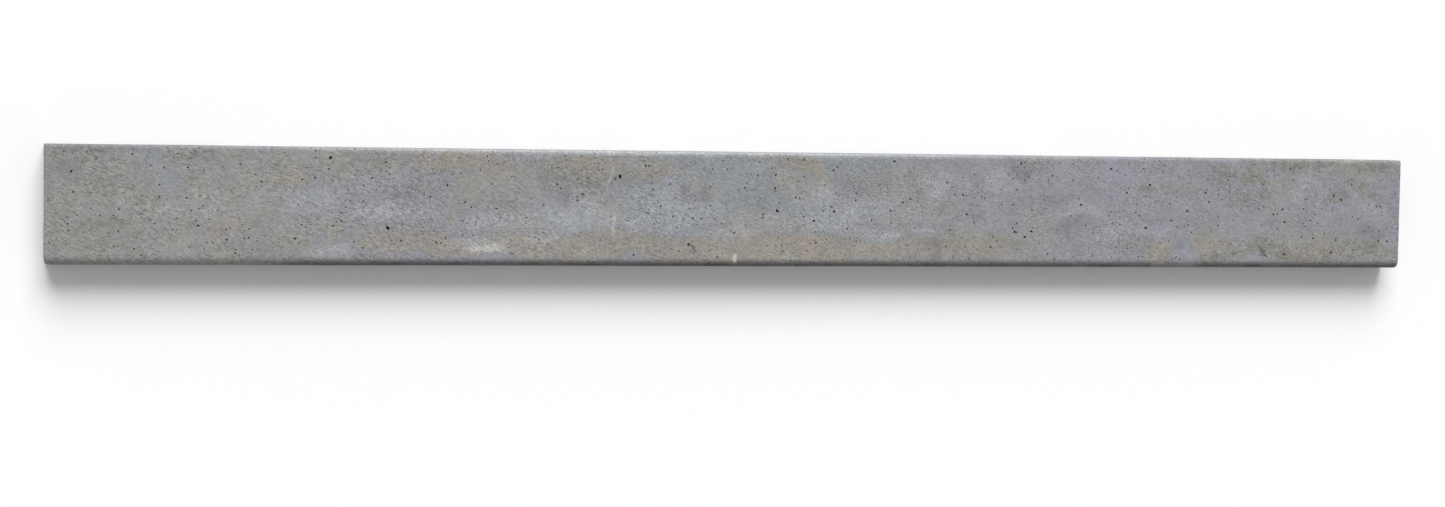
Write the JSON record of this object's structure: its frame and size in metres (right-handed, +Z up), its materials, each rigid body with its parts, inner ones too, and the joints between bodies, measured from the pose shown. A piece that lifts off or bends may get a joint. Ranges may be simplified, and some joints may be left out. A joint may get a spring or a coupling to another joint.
{
  "type": "concrete gravel board",
  "caption": "Plain cast concrete board that slots between two fence posts and keeps the fence panel off the ground, with rounded arrises along its ground edge.",
  "frame": {"origin": "on the floor under the middle of the board, which lies on its back", "axes": "+X along the length, +Y towards the upper edge that carries the fence panel, +Z up out of the face"},
  "size_m": [1.83, 0.15, 0.05],
  "materials": {
    "cast_concrete": "matte"
  },
  "bodies": {
    "root": {"gravel_board": "cast_concrete"}
  },
  "joints": []
}
